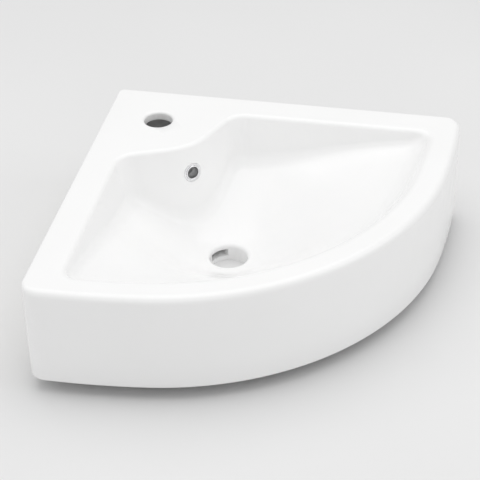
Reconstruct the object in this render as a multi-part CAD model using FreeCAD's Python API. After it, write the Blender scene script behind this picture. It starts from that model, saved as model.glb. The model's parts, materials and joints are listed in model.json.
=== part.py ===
"""Corner basin in glazed china, with an overflow ring and two wall fixing bushes. Millimetres.

The origin is where the two room walls meet, level with the lower edge of the apron. The back wall is the
plane y = 0, the left wall is the plane x = 0, the basin lies at +X and -Y, and +Z is up. Both halves of
the basin mirror each other in the upright plane through the diagonal of the corner.
"""

import FreeCAD, Part
from FreeCAD import Placement, Rotation, Vector
from math import atan2, cos, degrees, radians, sin, sqrt, tan
import os

# Body
side = 450.0  # along each wall, from the corner to the tip
height = 127.0  # from the apron's lower edge to the deck
bulge = 165.8  # how far the middle of the apron stands out from the straight line between the tips
flank_radius = 900.0  # apron near each tip, in plan
tip_radius = 20.0
corner_radius = 6.5  # upright edge in the room's corner
top_edge_radius = 6.0
lower_edge_radius = 2.0
china = 10.0  # thickness of the apron, the wall flanges and the bowl
deck_thickness = 11.0

# Bowl
side_rim = 40.0  # width of the rim along each wall
front_rim = 33.0
deck_reach = 172.5  # from the corner to the middle of the deck's edge, along the diagonal
deck_arc_radius = 80.0
deck_flank_angle = 23.0  # between the deck's straight edges and the normal of the diagonal
side_draft = 12.0  # from upright
deck_draft = 7.0
front_draft = 35.0
bowl_corner_radius = 16.0  # between the bowl's walls, and between them and the floor
rim_edge_radius = 5.0

# Floor of the bowl, a round dish about the waste hole, which passes through three rings
waste_inset = 181.0  # from each wall
waste_depth = 121.0  # below the deck
hollow_width = 30.0  # radius of the ring that is as deep as the waste hole
slope_width = 126.0  # radius of the next ring, and its depth
slope_depth = 62.0
shelf_margin = 12.0  # by which the shelf's distance falls short of the tip's, measured along the wall
shelf_depth = 19.0

# Waste hole
waste_radius = 23.5
waste_mouth_radius = 3.5
boss_radius = 38.0
boss_height = 24.0  # from the mouth to the boss's underside

# Tap hole
tap_inset = 68.7  # from each wall
tap_radius = 18.0
tap_mouth_radius = 3.0

# Overflow hole in the deck wall, and the channel behind it
overflow_depth = 39.0  # below the deck
overflow_radius = 10.0
recess_radius = 12.6
recess_depth = 1.0
channel_width = 25.0
channel_depth = 10.0
channel_wall = 5.5
channel_headroom = 14.0  # over the overflow hole's axis
channel_bend = 14.0  # over the waste hole's mouth, where it turns from behind the deck wall to under the floor
outlet_depth = 12.5  # from the waste hole's mouth down to the middle of the channel's end

# Overflow ring and its sleeve
ring_radius = 12.0
ring_face = 2.0
ring_bore_radius = 7.6
ring_tube_radius = 8.6
ring_length = 13.0
fit_clearance = 0.1

# Wall fixings, one in each wall flange
fixing_inset = 125.0  # from the corner
fixing_depth = 45.0  # below the deck
fixing_radius = 8.0
pad_radius = 20.0
pad_thickness = 4.0
bush_bore_radius = 5.25
bush_flange_radius = 13.0
bush_flange = 3.0
bush_setback = 0.5  # behind the wall face

ROOT2 = sqrt(2.0)
reach = side / ROOT2 + bulge  # from the corner to the middle of the apron, along the diagonal
waste_level = height - waste_depth
slope_level = height - slope_depth
shelf_width = side - waste_inset - shelf_margin
shelf_level = height - shelf_depth
overflow_level = height - overflow_depth
bend_level = waste_level + channel_bend
outlet_level = waste_level - outlet_depth
fixing_level = height - fixing_depth
UP = Vector(0, 0, 1)
ALONG = Vector(1, -1, 0) / ROOT2  # level, from the corner into the room
ACROSS = Vector(1, 1, 0) / ROOT2
WASTE = Vector(waste_inset, -waste_inset, 0)
CLEAR = 8.0  # how far a cutting shape runs past what it cuts


def mirrored(point):
    """The point's mirror image in the diagonal's upright plane."""
    return Vector(-point.y, -point.x, point.z)


def mirrored_shape(shape):
    return shape.mirror(Vector(0, 0, 0), ACROSS)


def heading(start, end):
    return degrees(atan2(end.y - start.y, end.x - start.x))


def arc(centre, radius, start, end):
    """Three points of an arc in plan, from the heading start to the heading end."""
    turns = [radians(angle) for angle in (start, (start + end) / 2, end)]
    return [centre + Vector(cos(turn), sin(turn), 0) * radius for turn in turns]


def outline(half, level):
    """Closed wire of one half's pieces, each 2 points of a line or 3 of an arc, and their mirror images."""
    other_half = [[mirrored(point) for point in reversed(piece)] for piece in reversed(half)]
    edges = []
    for piece in half + other_half:
        lifted = [point + UP * level for point in piece]
        if len(piece) == 2:
            edges.append(Part.makeLine(*lifted))
        else:
            edges.append(Part.Arc(*lifted).toShape())
    return Part.Wire(edges)


def apron_arcs():
    """Centre of the arc by the tip, and centre and radius of the arc across the diagonal, tangent to it."""
    back = flank_radius - side
    gap = flank_radius - reach
    along = (back**2 + tip_radius**2 - gap**2) / (2 * gap - ROOT2 * (back - tip_radius))
    return Vector(-back, -tip_radius, 0), ALONG * along, reach - along


def apron_half(inset, start):
    """The apron's curve, moved in by inset, from the heading start to the diagonal."""
    flank_centre, middle_centre, middle_radius = apron_arcs()
    joint = heading(flank_centre, middle_centre)
    flank = arc(flank_centre, flank_radius - inset, start, joint)
    middle = arc(middle_centre, middle_radius - inset, joint, -45.0)
    return [flank, middle]


def body_outline(inset, level):
    """Plan of the body, moved in by inset."""
    tip_centre = Vector(side - tip_radius, -tip_radius, 0)
    corner_centre = Vector(1, -1, 0) * (inset + corner_radius)
    corner = arc(corner_centre, corner_radius, 135.0, 90.0)
    tip = arc(tip_centre, tip_radius - inset, 90.0, 0.0)
    return outline([corner, [corner[-1], tip[0]], tip] + apron_half(inset, 0.0), level)


def bowl_outline(level, grow):
    """Plan of the bowl's walls at a level, moved out by grow. Its corners are sharp."""
    drop = height - level
    rim = side_rim - grow + drop * tan(radians(side_draft))
    shift = drop * tan(radians(deck_draft)) - grow
    inset = front_rim - grow + drop * tan(radians(front_draft))

    deck_centre = ALONG * (deck_reach - deck_arc_radius)
    deck = arc(deck_centre, deck_arc_radius + shift, -45.0, deck_flank_angle - 45.0)
    turn = radians(deck_flank_angle)
    flank = ACROSS * cos(turn) - ALONG * sin(turn)
    pocket = deck[-1] + flank * ((-rim - deck[-1].y) / flank.y)

    flank_centre = apron_arcs()[0]
    tip_x = flank_centre.x + sqrt((flank_radius - inset) ** 2 - (rim + flank_centre.y) ** 2)
    tip = Vector(tip_x, -rim, 0)
    half = [deck, [deck[-1], pocket], [pocket, tip]] + apron_half(inset, heading(flank_centre, tip))
    return outline(half, level)


def dish(grow):
    """The space over the bowl's floor, moved down by grow."""
    fall = shelf_level - slope_level
    run = shelf_width - slope_width
    edge_level = shelf_level + fall * (side - shelf_width) / run
    places = [
        (0.0, waste_level - 1.0),
        (hollow_width, waste_level),
        (slope_width, slope_level),
        (shelf_width, shelf_level),
        (side, edge_level),
    ]
    points = [WASTE + ALONG * distance + UP * (level - grow) for distance, level in places]
    curve = Part.BSplineCurve()
    curve.interpolate(Points=points)
    top = height + 2 * side
    outer_top = points[-1] + UP * top
    inner_top = points[0] + UP * (outer_top.z - points[0].z)
    frame = [(points[-1], outer_top), (outer_top, inner_top), (inner_top, points[0])]
    sides = [Part.makeLine(*pair) for pair in frame]
    face = Part.Face(Part.Wire([curve.toShape()] + sides))
    return face.revolve(WASTE, UP, 360)


def bowl(grow):
    """The bowl's inside with sharp edges, moved out by grow."""
    top = bowl_outline(height + CLEAR, grow)
    foot = bowl_outline(waste_level - 2 * CLEAR, grow)
    return Part.makeLoft([top, foot], True, True).common(dish(grow))


def sharp_edges(shape, chosen):
    """Edges where two faces meet at over 10 degrees and chosen(middle of the edge) is true."""
    found = []
    for edge in shape.Edges:
        faces = [face for face in shape.Faces if any(edge.isSame(other) for other in face.Edges)]
        middle = edge.valueAt((edge.FirstParameter + edge.LastParameter) / 2)
        if len(faces) != 2 or not chosen(middle):
            continue
        normals = [face.normalAt(*face.Surface.parameter(middle)) for face in faces]
        if normals[0].getAngle(normals[1]) > radians(10):
            found.append(edge)
    return found


def prism(inset, low, high):
    """The body's plan, moved in by inset, between two levels."""
    return Part.Face(body_outline(inset, low)).extrude(UP * (high - low))


def block():
    """The body before anything is hollowed out, with its outer edges rounded."""
    shape = prism(0, 0, height)
    lower = sharp_edges(shape, lambda middle: middle.z < 0.1)
    shape = shape.makeFillet(lower_edge_radius, lower)
    upper = sharp_edges(shape, lambda middle: middle.z > height - 0.1)
    return shape.makeFillet(top_edge_radius, upper)


def bowl_inside():
    """The bowl's inside, rounded where its walls and floor meet."""
    shape = bowl(0)
    return shape.makeFillet(bowl_corner_radius, sharp_edges(shape, lambda middle: middle.z < height))


def channel(half_depth, width):
    """Overflow channel: down behind the deck wall, then under the floor to the waste hole."""

    def behind(level):
        return deck_reach + (height - level) * tan(radians(deck_draft)) - china - channel_depth / 2

    waste_along = waste_inset * ROOT2
    places = [
        (behind(overflow_level), overflow_level + channel_headroom - channel_depth / 2),
        (behind(bend_level), bend_level),
        (waste_along - boss_radius - china, outlet_level),
        (waste_along - waste_radius + channel_depth / 2, outlet_level),
    ]
    points = [ALONG * along + UP * level - ACROSS * width / 2 for along, level in places]
    shapes = [Part.makeCylinder(half_depth, width, point, ACROSS) for point in points]
    for start, end in zip(points, points[1:]):
        across_leg = (end - start).cross(ACROSS).normalize() * half_depth
        corners = [start + across_leg, end + across_leg, end - across_leg, start - across_leg]
        face = Part.Face(Part.makePolygon(corners + corners[:1]))
        shapes.append(face.extrude(ACROSS * width))
    return shapes[0].multiFuse(shapes[1:])


def overflow_place():
    """Where the overflow hole's axis meets the deck wall, and the way it points, into the bowl."""
    drop = height - overflow_level
    point = ALONG * (deck_reach + drop * tan(radians(deck_draft))) + UP * overflow_level
    return point, ALONG * cos(radians(deck_draft)) + UP * sin(radians(deck_draft))


def overflow_cut():
    point, axis = overflow_place()
    hole = Part.makeCylinder(overflow_radius, china + channel_depth / 2 + CLEAR, point + axis * CLEAR, -axis)
    recess = Part.makeCylinder(recess_radius, recess_depth + CLEAR, point + axis * CLEAR, -axis)
    return hole.fuse(recess)


def with_mouths(shape):
    """The shape with its tap hole and waste hole, whose top edges are rounded."""
    tap = Part.makeCylinder(tap_radius, height, Vector(tap_inset, -tap_inset, china))
    waste_start = WASTE + UP * (waste_level - boss_height - CLEAR)
    waste = Part.makeCylinder(waste_radius, boss_height + 2 * CLEAR, waste_start)
    shape = shape.cut([tap, waste])
    tap_mouth = sharp_edges(shape, lambda middle: abs(middle.z - height) < 0.1)
    shape = shape.makeFillet(tap_mouth_radius, tap_mouth)

    def at_waste_mouth(middle):
        level_offset = Vector(middle.x, middle.y, 0) - WASTE
        return level_offset.Length < waste_radius + 0.1 and middle.z > waste_level - boss_height / 2

    return shape.makeFillet(waste_mouth_radius, sharp_edges(shape, at_waste_mouth))


def fixing_pad():
    start = Vector(fixing_inset, -china / 2, fixing_level)
    return Part.makeCylinder(pad_radius, china / 2 + pad_thickness, start, Vector(0, -1, 0))


def fixing_cut():
    start = Vector(fixing_inset, CLEAR, fixing_level)
    return Part.makeCylinder(fixing_radius, china + pad_thickness + 2 * CLEAR, start, Vector(0, -1, 0))


def basin_body():
    boss_foot = WASTE + UP * (waste_level - boss_height)
    added = [
        bowl(china).common(prism(china / 2, -boss_height, height - deck_thickness / 2)),
        Part.makeCylinder(boss_radius, boss_height + china, boss_foot),
        channel(channel_depth / 2 + channel_wall, channel_width + 2 * channel_wall),
        fixing_pad(),
        mirrored_shape(fixing_pad()),
    ]
    shape = block().cut(prism(china, -CLEAR, height - deck_thickness))
    shape = shape.multiFuse(added).cut(bowl_inside())
    rim = sharp_edges(shape, lambda middle: abs(middle.z - height) < 0.1)
    shape = with_mouths(shape.makeFillet(rim_edge_radius, rim))
    cuts = [
        channel(channel_depth / 2, channel_width),
        overflow_cut(),
        fixing_cut(),
        mirrored_shape(fixing_cut()),
    ]
    return shape.cut(cuts).removeSplitter().Solids[0]


def turned(places, point, axis):
    """Solid turned about the axis through point, from its profile's distances from and along the axis."""
    points = [Vector(radius, 0, along) for radius, along in places]
    shape = Part.Face(Part.makePolygon(points + points[:1])).revolve(Vector(0, 0, 0), UP, 360)
    shape.Placement = Placement(point, Rotation(UP, axis))
    return shape


def overflow_ring():
    point, axis = overflow_place()
    face_top = ring_face - recess_depth
    slope = ring_face / 2
    profile = [
        (ring_bore_radius, -ring_length),
        (ring_tube_radius, -ring_length),
        (ring_tube_radius, -recess_depth),
        (ring_radius, -recess_depth),
        (ring_radius, face_top - slope),
        (ring_radius - slope, face_top),
        (ring_bore_radius + slope / 2, face_top),
        (ring_bore_radius, face_top - slope / 2),
    ]
    return turned(profile, point, axis)


def overflow_sleeve():
    point, axis = overflow_place()
    inner = ring_tube_radius + fit_clearance
    outer = overflow_radius - fit_clearance
    top = -recess_depth - fit_clearance
    return turned([(inner, -ring_length), (outer, -ring_length), (outer, top), (inner, top)], point, axis)


def fixing_bush():
    """Nylon bush in the back wall's fixing hole, with its flange on the inside of the pad."""
    barrel = fixing_radius - fit_clearance
    pad_face = china + pad_thickness
    profile = [
        (bush_bore_radius, bush_setback),
        (barrel, bush_setback),
        (barrel, pad_face),
        (bush_flange_radius, pad_face),
        (bush_flange_radius, pad_face + bush_flange),
        (bush_bore_radius, pad_face + bush_flange),
    ]
    return turned(profile, Vector(fixing_inset, 0, fixing_level), Vector(0, -1, 0))


def main():
    os.makedirs("parts", exist_ok=True)
    nodes = {
        "basin_body": basin_body(),
        "overflow_ring": overflow_ring(),
        "overflow_sleeve": overflow_sleeve(),
        "fixing_bush_back": fixing_bush(),
        "fixing_bush_left": mirrored_shape(fixing_bush()),
    }
    for name, shape in nodes.items():
        shape.exportStep(f"parts/{name}.step")
        print(name, shape.ShapeType, len(shape.Solids), shape.isValid(), round(shape.Volume / 1000, 1), "cm3")


if __name__ == "__main__":
    main()
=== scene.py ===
"""Looks of the corner basin: its glazed casting, overflow trim and bushes, and light and camera.

Plans, levels and radii are in millimetres along the frame's axes, and become metres where a mesh
is made. The back wall is y = 0, the left wall is x = 0, the basin lies at +X and -Y, and +Z is
up. Both halves mirror each other in the upright plane through the diagonal of the corner.
"""

import json
from math import cos, pi, radians, sin, sqrt, tan

import bmesh
import bpy
import numpy as np
from mathutils import Matrix, Vector


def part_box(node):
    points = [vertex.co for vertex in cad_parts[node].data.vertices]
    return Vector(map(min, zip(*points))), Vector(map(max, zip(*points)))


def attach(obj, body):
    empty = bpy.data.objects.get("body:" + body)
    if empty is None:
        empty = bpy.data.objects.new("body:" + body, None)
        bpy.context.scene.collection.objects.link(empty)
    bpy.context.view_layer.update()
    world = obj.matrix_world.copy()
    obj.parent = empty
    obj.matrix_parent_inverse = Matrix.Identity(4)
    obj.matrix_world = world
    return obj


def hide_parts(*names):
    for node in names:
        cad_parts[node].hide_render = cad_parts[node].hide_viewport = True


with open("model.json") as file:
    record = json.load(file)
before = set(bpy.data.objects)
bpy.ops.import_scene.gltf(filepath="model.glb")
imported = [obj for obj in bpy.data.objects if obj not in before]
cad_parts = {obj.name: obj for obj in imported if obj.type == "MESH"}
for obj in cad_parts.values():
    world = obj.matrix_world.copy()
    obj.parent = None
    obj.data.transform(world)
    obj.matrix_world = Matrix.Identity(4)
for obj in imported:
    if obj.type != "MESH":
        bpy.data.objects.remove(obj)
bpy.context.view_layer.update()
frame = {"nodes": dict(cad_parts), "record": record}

MM = 0.001
ROOT2 = sqrt(2.0)
ALONG = np.array([1.0, -1.0]) / ROOT2  # level, from the corner into the room
ACROSS = np.array([1.0, 1.0]) / ROOT2
UP = np.array([0.0, 0.0, 1.0])

body_low, body_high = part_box("basin_body")
mounts = {mount["name"]: mount for mount in frame["record"]["mounts"]}


def mount_place(name):
    """A mount's place in millimetres."""
    return np.array(mounts[name]["pos_m"]) / MM


# Body
side = body_high[0] / MM  # along each wall, from the corner to the tip
height = body_high[2] / MM  # from the apron's lower edge to the deck
boss_level = body_low[2] / MM
apron_bulge = 165.8  # how far the apron's middle stands out from the line between the tips
reach = side / ROOT2 + apron_bulge  # from the corner to the apron's middle, along the diagonal
flank_radius = 900.0  # apron near each tip, in plan
tip_radius = 20.0
corner_radius = 6.5
wall_edge_radius = 3.0  # top edge along the walls
apron_edge_radius = 8.5  # top edge along the apron
lower_edge_radius = 3.0
china = 10.0  # thickness of the apron, the wall flanges and the bowl
deck_thickness = 11.0
deck_under_level = height - deck_thickness

# Bowl
side_rim = 40.0
front_rim = 33.0
deck_reach = 172.5  # from the corner to the middle of the deck's edge
deck_arc_radius = 80.0
deck_flank_angle = radians(23.0)
side_draft = radians(12.0)
deck_draft = radians(7.0)
front_draft = radians(35.0)
plan_round = 16.0  # between the bowl's walls
foot_round = 10.0  # between its walls and its floor
rim_round = 5.0
rim_run_out = 1.6  # from the bowl's edge to the flat of the deck, in radii of that edge
floor_widths = np.array([0.0, 30.0, 126.0, 257.0, 450.0])  # distances from the waste hole's axis
floor_depths = np.array([122.0, 121.0, 62.0, 19.0, -44.4])  # there, below the deck

# Holes
waste = mount_place("waste_hole")[:2]
waste_radius = mounts["waste_hole"]["dims"]["r_mm"]
waste_mouth_radius = 5.5
boss_radius = 38.0
boss_edge = 1.0
waste_level = height - floor_depths[1]  # of the hole's mouth
tap = mount_place("tap_hole")[:2]
tap_radius = mounts["tap_hole"]["dims"]["r_mm"]
tap_mouth_radius = 3.4
tap_mouth_turn = radians(78.0)  # how far its rounding turns, before a cone leads on over the deck
tap_cone_width = 1.3  # the cone's end, in radii of the mouth's rounding
tap_cone_rise = 1.0  # over the deck
overflow_depth = 39.0  # below the deck
overflow_radius = 10.0
recess_radius = 12.6
recess_depth = 1.0
recess_edge = 0.3
ring_radius = 12.0
ring_bore_radius = 7.6
ring_tube_radius = 8.6
ring_lip_radius = 9.5  # outside of the ring's raised lip
ring_groove_width = 0.5
ring_groove_depth = 0.8
flange_edge_radius = 0.4
ring_length = 13.0
channel_width = 25.0
channel_depth = 10.0
channel_wall = 5.5
channel_headroom = 14.0  # over the overflow hole's axis
channel_bend = 14.0  # over the waste hole's mouth
outlet_depth = 12.5  # below the waste hole's mouth
fixing_radius = 8.0
pad_radius = 20.0
pad_thickness = 4.0
pad_edge = 1.5
overrun = 5.0  # of a cutting shape past what it cuts

# Sampling of the meshes
wall_steps, corner_steps, tip_steps, flank_steps, middle_steps = 150, 6, 16, 60, 70
top_edge_steps = 8
lower_edge_steps = 5
mouth_steps = 7
flange_edge_steps = 5
ring_lip_steps = 17
bowl_rings = 88
under_rings = 36
ray_count = 260
ray_height = 100.0  # of the rays' source over the deck
ray_limit = 900.0
plan_ray_limit = 600.0
halvings = 44  # in each search for a surface
shortest_step = 1e-9
least_bend = 1e-4

# Materials
noise_range = 0.3, 0.7  # the part of a noise's values over which a ramp runs
wall_facing = 0.98  # least share of a face's normal that points at the wall which it meets
wall_gap = 0.0005  # metres

# Surroundings, in metres
floor_half_side = 6.0
lamp_aim = Vector((0.2, -0.2, 0.0))
sky_grey = 0.63


# ---------------------------------------------------------------- plan of the body


def apron_arcs():
    """Centre of the arc by the right tip, and centre and radius of the arc across the diagonal."""
    back = flank_radius - side
    gap = flank_radius - reach
    along = (back**2 + tip_radius**2 - gap**2) / (2 * gap - ROOT2 * (back - tip_radius))
    return np.array([-back, -tip_radius]), ALONG * along, reach - along


FLANK_CENTRE, MIDDLE_CENTRE, MIDDLE_RADIUS = apron_arcs()


def arc_directions(start, end, count):
    """Unit vectors between two headings, without the last."""
    turns = np.linspace(start, end, count, endpoint=False)
    return np.stack([np.cos(turns), np.sin(turns)], 1)


def half_outline():
    """Points of the plan's right half, how each moves per millimetre of inset, and edge radii."""
    joint = MIDDLE_CENTRE - FLANK_CENTRE
    joint_heading = np.arctan2(joint[1], joint[0])
    corner_centre = np.array([corner_radius, -corner_radius])
    tip_centre = np.array([side - tip_radius, -tip_radius])
    corner = arc_directions(0.75 * pi, 0.5 * pi, corner_steps)
    tip = arc_directions(0.5 * pi, 0.0, tip_steps)
    flank = arc_directions(0.0, joint_heading, flank_steps)
    middle = arc_directions(joint_heading, -0.25 * pi, middle_steps)
    run = np.linspace(corner_radius, side - tip_radius, wall_steps, endpoint=False)
    wall = np.stack([run, 0 * run], 1)
    corner_share = np.linspace(1.0, 0.0, wall_steps, endpoint=False)
    last = ALONG[None, :]
    points = [
        corner_centre + corner_radius * corner,
        wall,
        tip_centre + tip_radius * tip,
        FLANK_CENTRE + flank_radius * flank,
        MIDDLE_CENTRE + MIDDLE_RADIUS * middle,
        MIDDLE_CENTRE + MIDDLE_RADIUS * last,
    ]
    shifts = [
        np.tile([1.0, -1.0], (corner_steps, 1)),
        np.stack([corner_share, -np.ones(wall_steps)], 1),
        -tip,
        -flank,
        -middle,
        -last,
    ]
    radii = [wall_edge_radius] * (corner_steps + wall_steps)
    turn = np.linspace(0.0, 1.0, tip_steps, endpoint=False)
    growth = apron_edge_radius - wall_edge_radius
    radii += list(wall_edge_radius + growth * turn**2 * (3 - 2 * turn))
    radii += [apron_edge_radius] * (flank_steps + middle_steps + 1)
    return np.concatenate(points), np.concatenate(shifts), np.array(radii)


def whole_loop(half):
    """A closed loop from the right half's values: the half, then its mirror image run backwards."""
    if half.ndim == 1:
        mirror = half
    else:
        mirror = -half[:, ::-1]
    return np.concatenate([half[:-1], mirror[:0:-1]])


OUTLINE, SHIFT, EDGE_RADIUS = (whole_loop(values) for values in half_outline())
LOOP = len(OUTLINE)
SPOKE = OUTLINE - waste
SPOKE /= np.linalg.norm(SPOKE, axis=1)[:, None]  # level directions from the waste hole


def body_ring(inset, level):
    """A loop on the body's plan moved in by inset, at a level. Both may change along the loop."""
    inset = np.broadcast_to(inset, LOOP)
    plan = OUTLINE + SHIFT * inset[:, None]
    return np.column_stack([plan, np.broadcast_to(level, LOOP)])


def round_ring(radius, level):
    """A circle about the waste hole's axis, with a point on each spoke."""
    return np.column_stack([waste + SPOKE * radius, np.full(LOOP, level)])


# ---------------------------------------------------------------- the bowl as a field


def smooth_curve(knots, values):
    """A function through the points, by cubic pieces whose slope and bend run on, and its slope.

    It starts level, and ends as steep as its last chord.
    """
    runs = np.diff(knots)
    chords = np.diff(values) / runs
    system = np.eye(len(knots))
    wanted = np.zeros(len(knots))
    wanted[-1] = chords[-1]
    for i in range(1, len(knots) - 1):
        system[i, i - 1 : i + 2] = runs[i], 2 * (runs[i - 1] + runs[i]), runs[i - 1]
        wanted[i] = 3 * (runs[i] * chords[i - 1] + runs[i - 1] * chords[i])
    slopes = np.linalg.solve(system, wanted)

    def curve(where):
        k = np.clip(np.searchsorted(knots, where) - 1, 0, len(runs) - 1)
        run = runs[k]
        t = (where - knots[k]) / run
        a = slopes[k] * run
        b = slopes[k + 1] * run
        rise = values[k + 1] - values[k]
        value = values[k] + a * t + (3 * rise - 2 * a - b) * t**2 + (a + b - 2 * rise) * t**3
        slope = (a + 2 * (3 * rise - 2 * a - b) * t + 3 * (a + b - 2 * rise) * t**2) / run
        return value, slope

    return curve


floor_curve = smooth_curve(floor_widths, height - floor_depths)


def rounded_meeting(depths, radius):
    """The least of the depths, rounded where two or more are under the radius."""
    depths = np.stack(depths)
    short = np.maximum(radius - depths, 0.0)
    return np.maximum(radius, depths.min(0)) - np.sqrt((short**2).sum(0))


def deck_wall_depth(x, y, drop):
    """Distance into the bowl from the deck wall's face, at a drop below the deck."""
    centre = ALONG * (deck_reach - deck_arc_radius)
    along = (x - centre[0]) * ALONG[0] + (y - centre[1]) * ALONG[1]
    across = (x - centre[0]) * ACROSS[0] + (y - centre[1]) * ACROSS[1]
    turn = np.arctan2(np.abs(across), along)
    past_arc = np.maximum(turn - deck_flank_angle, 0.0)
    distance = np.hypot(along, across) * np.cos(past_arc) - deck_arc_radius
    return (distance - drop * tan(deck_draft)) * cos(deck_draft)


def front_wall_depth(x, y, drop):
    """Distance into the bowl from the front wall's face, at a drop below the deck."""
    left = x + y < 0
    x, y = np.where(left, -y, x), np.where(left, -x, y)
    inset = front_rim + drop * tan(front_draft)
    flank = flank_radius - inset - np.hypot(x - FLANK_CENTRE[0], y - FLANK_CENTRE[1])
    middle = MIDDLE_RADIUS - inset - np.hypot(x - MIDDLE_CENTRE[0], y - MIDDLE_CENTRE[1])
    joint = MIDDLE_CENTRE - FLANK_CENTRE
    side_of_joint = joint[0] * (y - FLANK_CENTRE[1]) - joint[1] * (x - FLANK_CENTRE[0])
    return np.where(side_of_joint < 0, middle, flank) * cos(front_draft)


def bowl_depth(x, y, z):
    """Depth of a point inside the bowl's rounded walls and floor, negative in the china."""
    drop = height - z
    wall_inset = side_rim + drop * tan(side_draft)
    walls = rounded_meeting(
        [
            (x - wall_inset) * cos(side_draft),
            (-y - wall_inset) * cos(side_draft),
            deck_wall_depth(x, y, drop),
            front_wall_depth(x, y, drop),
        ],
        plan_round,
    )
    level, slope = floor_curve(np.hypot(x - waste[0], y - waste[1]))
    return rounded_meeting([walls, (z - level) / np.sqrt(1 + slope**2)], foot_round)


def open_air(x, y, z):
    """Positive in the bowl and over the deck, negative in the china, with a rounded rim."""
    over = z - height
    inside = bowl_depth(x, y, z)
    near = np.hypot(np.maximum(rim_round + over, 0), np.maximum(rim_round + inside, 0))
    return np.minimum(-rim_round, np.maximum(over, inside)) + near


def shell_air(x, y, z):
    """Positive inside the bowl's outer skin, negative beyond it."""
    return bowl_depth(x, y, z) + china


def crossing(field, start, direction, reach_limit):
    """Points where rays from start leave the part where the field is positive, by bisection."""
    near = np.zeros(direction.shape[:-1])
    far = np.broadcast_to(reach_limit, near.shape).copy()
    for _ in range(halvings):
        middle = (near + far) / 2
        point = start + direction * middle[..., None]
        inside = field(point[..., 0], point[..., 1], point[..., 2]) > 0
        near = np.where(inside, middle, near)
        far = np.where(inside, far, middle)
    return start + direction * far[..., None]


def rays_between(field, first, last):
    """Points where a fan of rays on each spoke meets the field's skin, from first to last."""
    source = np.array([waste[0], waste[1], height + ray_height])

    def steepness(points):
        offset = points - source
        return np.arctan2(np.hypot(offset[:, 0], offset[:, 1]), -offset[:, 2])

    share = np.linspace(0.0, 1.0, ray_count)[:, None]
    turn = steepness(first) + (steepness(last) - steepness(first)) * share
    level_part = SPOKE[None] * np.sin(turn)[..., None]
    direction = np.concatenate([level_part, -np.cos(turn)[..., None]], 2)
    return crossing(field, source, direction, ray_limit)


def even_rings(points, count):
    """Fewer rings from many, spaced along each spoke partly by length and partly by bend."""
    steps = np.diff(points, axis=0)
    lengths = np.linalg.norm(steps, axis=2)
    units = steps / np.maximum(lengths, shortest_step)[..., None]
    bends = np.arccos(np.clip((units[1:] * units[:-1]).sum(2), -1, 1))
    bends = np.concatenate([bends[:1] * 0, bends]) + least_bend
    measure = lengths / lengths.sum(0) + bends / bends.sum(0)
    measure = np.concatenate([measure[:1] * 0, measure]).cumsum(0)
    measure /= measure[-1]
    wanted = np.linspace(0.0, 1.0, count)
    rings = np.empty((count, LOOP, 3))
    for spoke in range(LOOP):
        for axis in range(3):
            rings[:, spoke, axis] = np.interp(wanted, measure[:, spoke], points[:, spoke, axis])
    return rings


def plan_crossing(field, level):
    """Loop of points at a level where the field ends, along each spoke."""
    start = np.array([waste[0], waste[1], level])
    direction = np.column_stack([SPOKE, np.zeros(LOOP)])
    return crossing(field, start, direction, plan_ray_limit)


def bowl_inside_rings():
    """Rings from the waste hole's mouth up to the flat of the deck."""
    mouth = waste_radius + waste_mouth_radius
    first = round_ring(mouth, floor_curve(np.array(mouth))[0])
    edge = plan_crossing(bowl_depth, height)
    last = edge + np.column_stack([SPOKE, np.zeros(LOOP)]) * rim_round * rim_run_out
    return even_rings(rays_between(open_air, first, last), bowl_rings)


def bowl_outside_rings():
    """Rings on the underside of the bowl, from the boss to the underside of the deck."""
    level = floor_curve(np.array(boss_radius))[0] - china
    first = round_ring(boss_radius, level)
    last = plan_crossing(shell_air, deck_under_level)
    return even_rings(rays_between(shell_air, first, last), under_rings)


# ---------------------------------------------------------------- meshes


def casting_rings():
    """Closed run of loops over the casting: apron, deck, bowl, waste hole, boss, underside."""
    rings = []
    for turn in np.linspace(0.0, 0.5 * pi, lower_edge_steps):
        inset = lower_edge_radius * (1 - sin(turn))
        rings.append(body_ring(inset, lower_edge_radius * (1 - cos(turn))))
    for share in (0.25, 0.5, 0.75):
        rings.append(body_ring(0.0, height * share))
    for turn in np.linspace(0.0, 0.5 * pi, top_edge_steps + 1):
        inset = EDGE_RADIUS * (1 - cos(turn))
        rings.append(body_ring(inset, height - EDGE_RADIUS * (1 - sin(turn))))
    bowl = bowl_inside_rings()
    deck_edge = rings[-1]
    for share in (0.2, 0.4, 0.6, 0.8):
        rings.append(deck_edge + (bowl[-1] - deck_edge) * share)
    rings += list(bowl[::-1])

    mouth_level = bowl[0][0, 2] - waste_mouth_radius
    mouth_middle = waste_radius + waste_mouth_radius
    for turn in np.linspace(0.5 * pi, 0.0, mouth_steps)[1:]:
        radius = mouth_middle - waste_mouth_radius * cos(turn)
        rings.append(round_ring(radius, mouth_level + waste_mouth_radius * sin(turn)))
    rings.append(round_ring(waste_radius, boss_level))
    rings.append(round_ring(boss_radius - boss_edge, boss_level))
    rings.append(round_ring(boss_radius, boss_level + boss_edge))
    under = bowl_outside_rings()
    rings += list(under)

    for share in (0.5, 1.0):
        rings.append(under[-1] + (body_ring(china, deck_under_level) - under[-1]) * share)
    for share in (0.66, 0.33):
        rings.append(body_ring(china, deck_under_level * share))
    for turn in np.linspace(0.5 * pi, 0.0, lower_edge_steps):
        inset = china - lower_edge_radius * (1 - sin(turn))
        rings.append(body_ring(inset, lower_edge_radius * (1 - cos(turn))))
    return rings


def mesh_object(name, points, faces):
    """A mesh object from points in millimetres."""
    mesh = bpy.data.meshes.new(name)
    mesh.from_pydata([tuple(point) for point in np.asarray(points) * MM], [], faces)
    mesh.update()
    piece = bpy.data.objects.new(name, mesh)
    bpy.context.scene.collection.objects.link(piece)
    return piece


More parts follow.
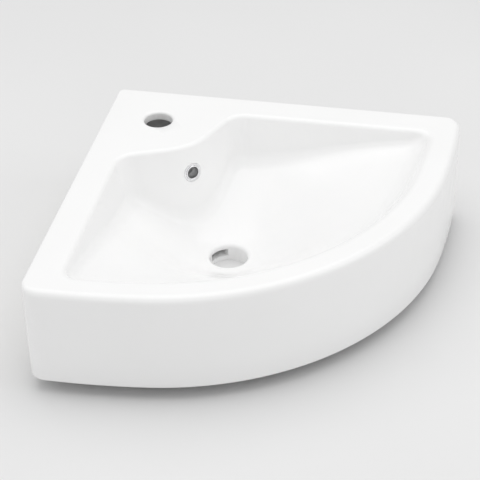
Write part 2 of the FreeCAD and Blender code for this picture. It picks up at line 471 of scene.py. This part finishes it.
def ring_faces(ring_total, loop, closed):
    """Quads between consecutive rings."""
    faces = []
    for ring in range(ring_total if closed else ring_total - 1):
        here = ring * loop
        there = (ring + 1) % ring_total * loop
        for k in range(loop):
            after = (k + 1) % loop
            faces.append((here + k, here + after, there + after, there + k))
    return faces


def outward(piece):
    """Turns a closed piece's faces outwards."""
    shell = bmesh.new()
    shell.from_mesh(piece.data)
    bmesh.ops.recalc_face_normals(shell, faces=shell.faces)
    if shell.calc_volume(signed=True) < 0:
        bmesh.ops.reverse_faces(shell, faces=shell.faces)
    shell.to_mesh(piece.data)
    shell.free()
    return piece


def turned_piece(name, places, centre, axis, steps=64, closed=False):
    """A solid turned about an axis, from places (radius, distance along the axis).

    An open profile gets a flat cap at each end. A closed one makes a ring.
    """
    turn = np.array(Vector(UP).rotation_difference(Vector(axis)).to_matrix())
    angles = np.linspace(0.0, 2 * pi, steps, endpoint=False)
    rings = []
    for radius, along in places:
        plan = radius * np.cos(angles), radius * np.sin(angles)
        rings.append(np.column_stack([*plan, np.full(steps, along)]))
    points = np.concatenate(rings) @ turn.T + np.asarray(centre)
    faces = ring_faces(len(places), steps, closed)
    if not closed:
        faces.append(tuple(range(steps)))
        faces.append(tuple(range((len(places) - 1) * steps, len(places) * steps)))
    return outward(mesh_object(name, points, faces))


def combine(piece, tool, operation):
    """Joins the tool to the piece or cuts it out of the piece, and deletes the tool."""
    modifier = piece.modifiers.new(tool.name, "BOOLEAN")
    modifier.operation = operation
    modifier.solver = "MANIFOLD"
    modifier.object = tool
    depsgraph = bpy.context.evaluated_depsgraph_get()
    result = bpy.data.meshes.new_from_object(piece.evaluated_get(depsgraph))
    piece.modifiers.clear()
    old = piece.data
    piece.data = result
    bpy.data.meshes.remove(old)
    mesh = tool.data
    bpy.data.objects.remove(tool)
    bpy.data.meshes.remove(mesh)


def channel_tool(name, half_depth, width, end):
    """A bent bar along the overflow channel, down behind the deck wall and then under the floor.

    It ends at the distance end from the waste hole's axis.
    """

    def behind(level):
        return deck_reach + (height - level) * tan(deck_draft) - china - channel_depth / 2

    waste_along = waste @ ALONG
    overflow_level = height - overflow_depth
    bend_level = waste_level + channel_bend
    outlet_level = waste_level - outlet_depth
    top_level = overflow_level + channel_headroom - channel_depth / 2 + half_depth
    path = np.array(
        [
            (behind(overflow_level), top_level),
            (behind(bend_level), bend_level),
            (waste_along - boss_radius - china, outlet_level),
            (waste_along - end, outlet_level),
        ]
    )
    runs = np.diff(path, axis=0)
    runs /= np.linalg.norm(runs, axis=1)[:, None]
    normals = np.column_stack([-runs[:, 1], runs[:, 0]])
    mitres = np.vstack([normals[:1], normals[:-1] + normals[1:], normals[-1:]])
    mitres[1:-1] /= (mitres[1:-1] * normals[1:]).sum(1)[:, None]
    profile = np.vstack([path + mitres * half_depth, (path - mitres * half_depth)[::-1]])
    count = len(profile)
    points = []
    for across in (-width / 2, width / 2):
        for along, level in profile:
            plan = ALONG * along + ACROSS * across
            points.append((plan[0], plan[1], level))
    faces = [tuple(range(count)), tuple(range(count, 2 * count))]
    faces += [(k, (k + 1) % count, (k + 1) % count + count, k + count) for k in range(count)]
    return outward(mesh_object(name, points, faces))


def overflow_place():
    """Where the overflow hole's axis meets the deck wall, and the way it points."""
    along = deck_reach + overflow_depth * tan(deck_draft)
    plan = ALONG * along
    point = np.array([plan[0], plan[1], height - overflow_depth])
    level_part = ALONG * cos(deck_draft)
    return point, np.array([level_part[0], level_part[1], sin(deck_draft)])


def tap_hole_tool():
    """Cuts the tap hole, with a rounded mouth that runs out just above the deck."""
    places = [(tap_radius, deck_under_level - overrun), (tap_radius, height - tap_mouth_radius)]
    for turn in np.linspace(0.0, tap_mouth_turn, mouth_steps)[1:]:
        radius = tap_radius + tap_mouth_radius * (1 - cos(turn))
        places.append((radius, height - tap_mouth_radius * (1 - sin(turn))))
    places.append((tap_radius + tap_mouth_radius * tap_cone_width, height + tap_cone_rise))
    return turned_piece("tap_hole_tool", places, (tap[0], tap[1], 0.0), UP, steps=96)


def fixing_tools():
    """For each wall: the thickened pad, and the hole through it."""
    for name, axis in (("fixing_back", (0, -1, 0)), ("fixing_left", (1, 0, 0))):
        place = mount_place(name)
        inward = np.array(axis, float)
        place = place - inward * (place @ inward)
        pad = [(pad_radius, china / 2), (pad_radius, china + pad_thickness - pad_edge)]
        pad.append((pad_radius - pad_edge, china + pad_thickness))
        hole = [(fixing_radius, -overrun), (fixing_radius, china + pad_thickness + overrun)]
        pad_tool = turned_piece(name + "_pad", pad, place, inward)
        hole_tool = turned_piece(name + "_hole", hole, place, inward)
        yield pad_tool, hole_tool


def casting():
    """The basin's whole casting as one closed mesh."""
    rings = casting_rings()
    points = np.concatenate(rings)
    piece = outward(mesh_object("basin_casting", points, ring_faces(len(rings), LOOP, True)))
    combine(piece, tap_hole_tool(), "DIFFERENCE")
    outside = channel_depth / 2 + channel_wall, channel_width + 2 * channel_wall
    outside_end = (waste_radius + boss_radius) / 2
    combine(piece, channel_tool("channel_outside", *outside, outside_end), "UNION")
    fixings = list(fixing_tools())
    for pad, _ in fixings:
        combine(piece, pad, "UNION")
    for _, hole in fixings:
        combine(piece, hole, "DIFFERENCE")
    inside = channel_depth / 2, channel_width
    combine(piece, channel_tool("channel_inside", *inside, waste_radius / 2), "DIFFERENCE")
    point, axis = overflow_place()
    bore = [
        (overflow_radius, -china - channel_depth / 2),
        (overflow_radius, -recess_depth),
        (recess_radius - recess_edge, -recess_depth),
        (recess_radius, recess_edge - recess_depth),
        (recess_radius, overrun),
    ]
    combine(piece, turned_piece("overflow_tool", bore, point, axis), "DIFFERENCE")
    return piece


def smooth(piece, angle=35.0):
    """Smooth shading, with creases only where faces meet at more than the angle."""
    piece.data.shade_smooth()
    piece.data.set_sharp_from_angle(angle=radians(angle))


def overflow_trim():
    """The pushed-in metal ring: a thin flange, a groove, a round lip, and a short tube behind."""
    point, axis = overflow_place()
    lip = (ring_lip_radius - ring_bore_radius) / 2
    edge = flange_edge_radius
    flange_inside = ring_lip_radius + ring_groove_width
    profile = [
        (ring_bore_radius, -ring_length),
        (ring_tube_radius, -ring_length),
        (ring_tube_radius, -recess_depth),
        (ring_radius, -recess_depth),
    ]
    for turn in np.linspace(0.0, 0.5 * pi, flange_edge_steps):
        profile.append((ring_radius - edge * (1 - cos(turn)), edge * (sin(turn) - 1)))
    profile.append((flange_inside + edge / 2, 0.0))
    profile.append((flange_inside, -edge / 2))
    profile.append((flange_inside, -ring_groove_depth))
    profile.append((ring_lip_radius, -ring_groove_depth))
    for turn in np.linspace(0.0, pi, ring_lip_steps):
        profile.append((ring_bore_radius + lip * (1 + cos(turn)), lip * sin(turn)))
    ring = turned_piece("overflow_trim", profile, point, axis, steps=96, closed=True)
    smooth(ring, angle=40.0)
    return ring


# ---------------------------------------------------------------- materials


def new_material(name):
    """A material, its nodes, its links and its surface shader."""
    material = bpy.data.materials.new(name)
    material.use_nodes = True
    nodes = material.node_tree.nodes
    return material, nodes, material.node_tree.links, nodes["Principled BSDF"]


def noise(nodes, links, scale, detail):
    """A noise texture in the part's own coordinates."""
    place = nodes.new("ShaderNodeTexCoord")
    texture = nodes.new("ShaderNodeTexNoise")
    texture.inputs["Scale"].default_value = scale
    texture.inputs["Detail"].default_value = detail
    links.new(place.outputs["Object"], texture.inputs["Vector"])
    return texture.outputs["Fac"]


def ramp(nodes, links, source, low, high):
    """Colours or greys between low and high, by the source's middle range."""
    colours = nodes.new("ShaderNodeValToRGB")
    for element, place, colour in zip(colours.color_ramp.elements, noise_range, (low, high)):
        element.position = place
        element.color = (*colour, 1.0)
    links.new(source, colours.inputs["Fac"])
    return colours.outputs["Color"]


def bump(nodes, links, source, shader, distance):
    """Raises the shaded surface by the source's values, by up to a distance in metres."""
    relief = nodes.new("ShaderNodeBump")
    relief.inputs["Distance"].default_value = distance
    relief.inputs["Strength"].default_value = 1.0
    links.new(source, relief.inputs["Height"])
    links.new(relief.outputs["Normal"], shader.inputs["Normal"])


def glaze():
    """White sanitary glaze: glossy, with a faint unevenness in tone, gloss and level."""
    material, nodes, links, shader = new_material("china_glaze")
    tone = noise(nodes, links, scale=9.0, detail=3.0)
    colour = ramp(nodes, links, tone, (0.915, 0.915, 0.912), (0.93, 0.93, 0.929))
    links.new(colour, shader.inputs["Base Color"])
    gloss = noise(nodes, links, scale=35.0, detail=2.0)
    links.new(ramp(nodes, links, gloss, (0.21,) * 3, (0.25,) * 3), shader.inputs["Roughness"])
    bump(nodes, links, noise(nodes, links, scale=55.0, detail=1.0), shader, distance=0.000015)
    shader.inputs["IOR"].default_value = 1.52
    return material


def bisque():
    """Bare fired china on the faces that meet the walls: dull and finely grained."""
    material, nodes, links, shader = new_material("china_bisque")
    tone = noise(nodes, links, scale=120.0, detail=6.0)
    colour = ramp(nodes, links, tone, (0.74, 0.73, 0.70), (0.80, 0.79, 0.765))
    links.new(colour, shader.inputs["Base Color"])
    bump(nodes, links, noise(nodes, links, scale=900.0, detail=3.0), shader, distance=0.00012)
    shader.inputs["Roughness"].default_value = 0.75
    return material


def chrome():
    """Polished metal with a faint grain in its gloss and tone."""
    material, nodes, links, shader = new_material("chrome")
    shade = noise(nodes, links, scale=400.0, detail=2.0)
    links.new(ramp(nodes, links, shade, (0.05,) * 3, (0.09,) * 3), shader.inputs["Roughness"])
    colour = ramp(nodes, links, shade, (0.80, 0.80, 0.81), (0.84, 0.84, 0.85))
    links.new(colour, shader.inputs["Base Color"])
    shader.inputs["Metallic"].default_value = 1.0
    return material


def plastic(name, low, high, roughness):
    """Moulded plastic with a fine grain."""
    material, nodes, links, shader = new_material(name)
    tone = noise(nodes, links, scale=150.0, detail=4.0)
    links.new(ramp(nodes, links, tone, low, high), shader.inputs["Base Color"])
    bump(nodes, links, noise(nodes, links, scale=1500.0, detail=2.0), shader, distance=0.00003)
    shader.inputs["Roughness"].default_value = roughness
    return material


def dress(piece, material):
    """Makes the material the piece's only one."""
    piece.data.materials.clear()
    piece.data.materials.append(material)


def mark_wall_faces(piece, material):
    """Gives the faces that meet the walls a second material."""
    piece.data.materials.append(material)
    for face in piece.data.polygons:
        x, y, _ = face.center
        facing = face.normal
        on_back_wall = facing.y > wall_facing and y > -wall_gap
        on_left_wall = facing.x < -wall_facing and x < wall_gap
        if on_back_wall or on_left_wall:
            face.material_index = 1


# ---------------------------------------------------------------- camera, floor and light


def camera():
    """The photograph's viewpoint, solved from the basin's outline."""
    azimuth, elevation, roll = radians(11.69), radians(35.315), radians(-1.024)
    target = Vector((202.1, -210.9, 52.8)) * MM
    distance = 1944.7 * MM
    focal_pixels, frame_pixels, sensor = 1589.75, 480.0, 36.0
    back = Vector((sin(azimuth) * cos(elevation), -cos(azimuth) * cos(elevation), sin(elevation)))
    right = (-back).cross(Vector(UP)).normalized()
    up = right.cross(-back)
    turned_right = right * cos(roll) + up * sin(roll)
    turned_up = up * cos(roll) - right * sin(roll)
    data = bpy.data.cameras.new("camera")
    data.sensor_fit = "HORIZONTAL"
    data.sensor_width = sensor
    data.lens = focal_pixels / frame_pixels * sensor
    data.clip_end = 50.0
    eye = bpy.data.objects.new("camera", data)
    axes = Matrix((turned_right, turned_up, back)).transposed()
    eye.matrix_world = Matrix.Translation(target + back * distance) @ axes.to_4x4()
    bpy.context.scene.collection.objects.link(eye)
    bpy.context.scene.camera = eye


def floor():
    """A plain pale floor, on which the waste boss stands."""
    size = floor_half_side
    level = boss_level * MM
    mesh = bpy.data.meshes.new("floor")
    corners = [(-size, -size), (size, -size), (size, size), (-size, size)]
    mesh.from_pydata([(x, y, level) for x, y in corners], [], [(0, 1, 2, 3)])
    piece = bpy.data.objects.new("floor", mesh)
    bpy.context.scene.collection.objects.link(piece)
    material, nodes, links, shader = new_material("floor")
    tone = noise(nodes, links, scale=2.0, detail=2.0)
    links.new(ramp(nodes, links, tone, (0.79,) * 3, (0.81,) * 3), shader.inputs["Base Color"])
    shader.inputs["Roughness"].default_value = 0.9
    shader.inputs["Specular IOR Level"].default_value = 0.1
    dress(piece, material)


def sky():
    """Plain soft light from all round."""
    world = bpy.data.worlds.new("sky")
    bpy.context.scene.world = world
    world.use_nodes = True
    background = world.node_tree.nodes["Background"]
    background.inputs["Color"].default_value = (sky_grey, sky_grey, sky_grey, 1.0)


def soft_box(name, place, width, length, power):
    """A rectangular lamp that faces the basin. Metres and watts."""
    data = bpy.data.lights.new(name, "AREA")
    data.shape = "RECTANGLE"
    data.size = width
    data.size_y = length
    data.energy = power
    lamp = bpy.data.objects.new(name, data)
    lamp.location = place
    lamp.rotation_euler = (lamp_aim - Vector(place)).to_track_quat("-Z", "Y").to_euler()
    bpy.context.scene.collection.objects.link(lamp)


# ---------------------------------------------------------------- the scene

body = casting()
smooth(body)
dress(body, glaze())
mark_wall_faces(body, bisque())
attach(body, "root")
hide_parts("basin_body")

trim = overflow_trim()
dress(trim, chrome())
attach(trim, "root")
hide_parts("overflow_ring")

nylon = plastic("nylon", (0.78, 0.77, 0.73), (0.83, 0.82, 0.79), roughness=0.45)
for node in ("fixing_bush_back", "fixing_bush_left"):
    dress(frame["nodes"][node], nylon)
rubber = plastic("sleeve_rubber", (0.30,) * 3, (0.36,) * 3, roughness=0.8)
dress(frame["nodes"]["overflow_sleeve"], rubber)

bpy.context.scene.view_settings.view_transform = "Standard"
camera()
floor()
sky()
soft_box("overhead", (0.15, 0.0, 1.9), width=2.2, length=2.2, power=15.5)
soft_box("front", (0.5, -2.1, 1.2), width=1.6, length=1.2, power=2.8)
soft_box("right", (2.0, -0.2, 1.2), width=1.2, length=1.6, power=5.2)
soft_box("left", (-1.6, -0.6, 1.2), width=1.2, length=1.6, power=3.4)
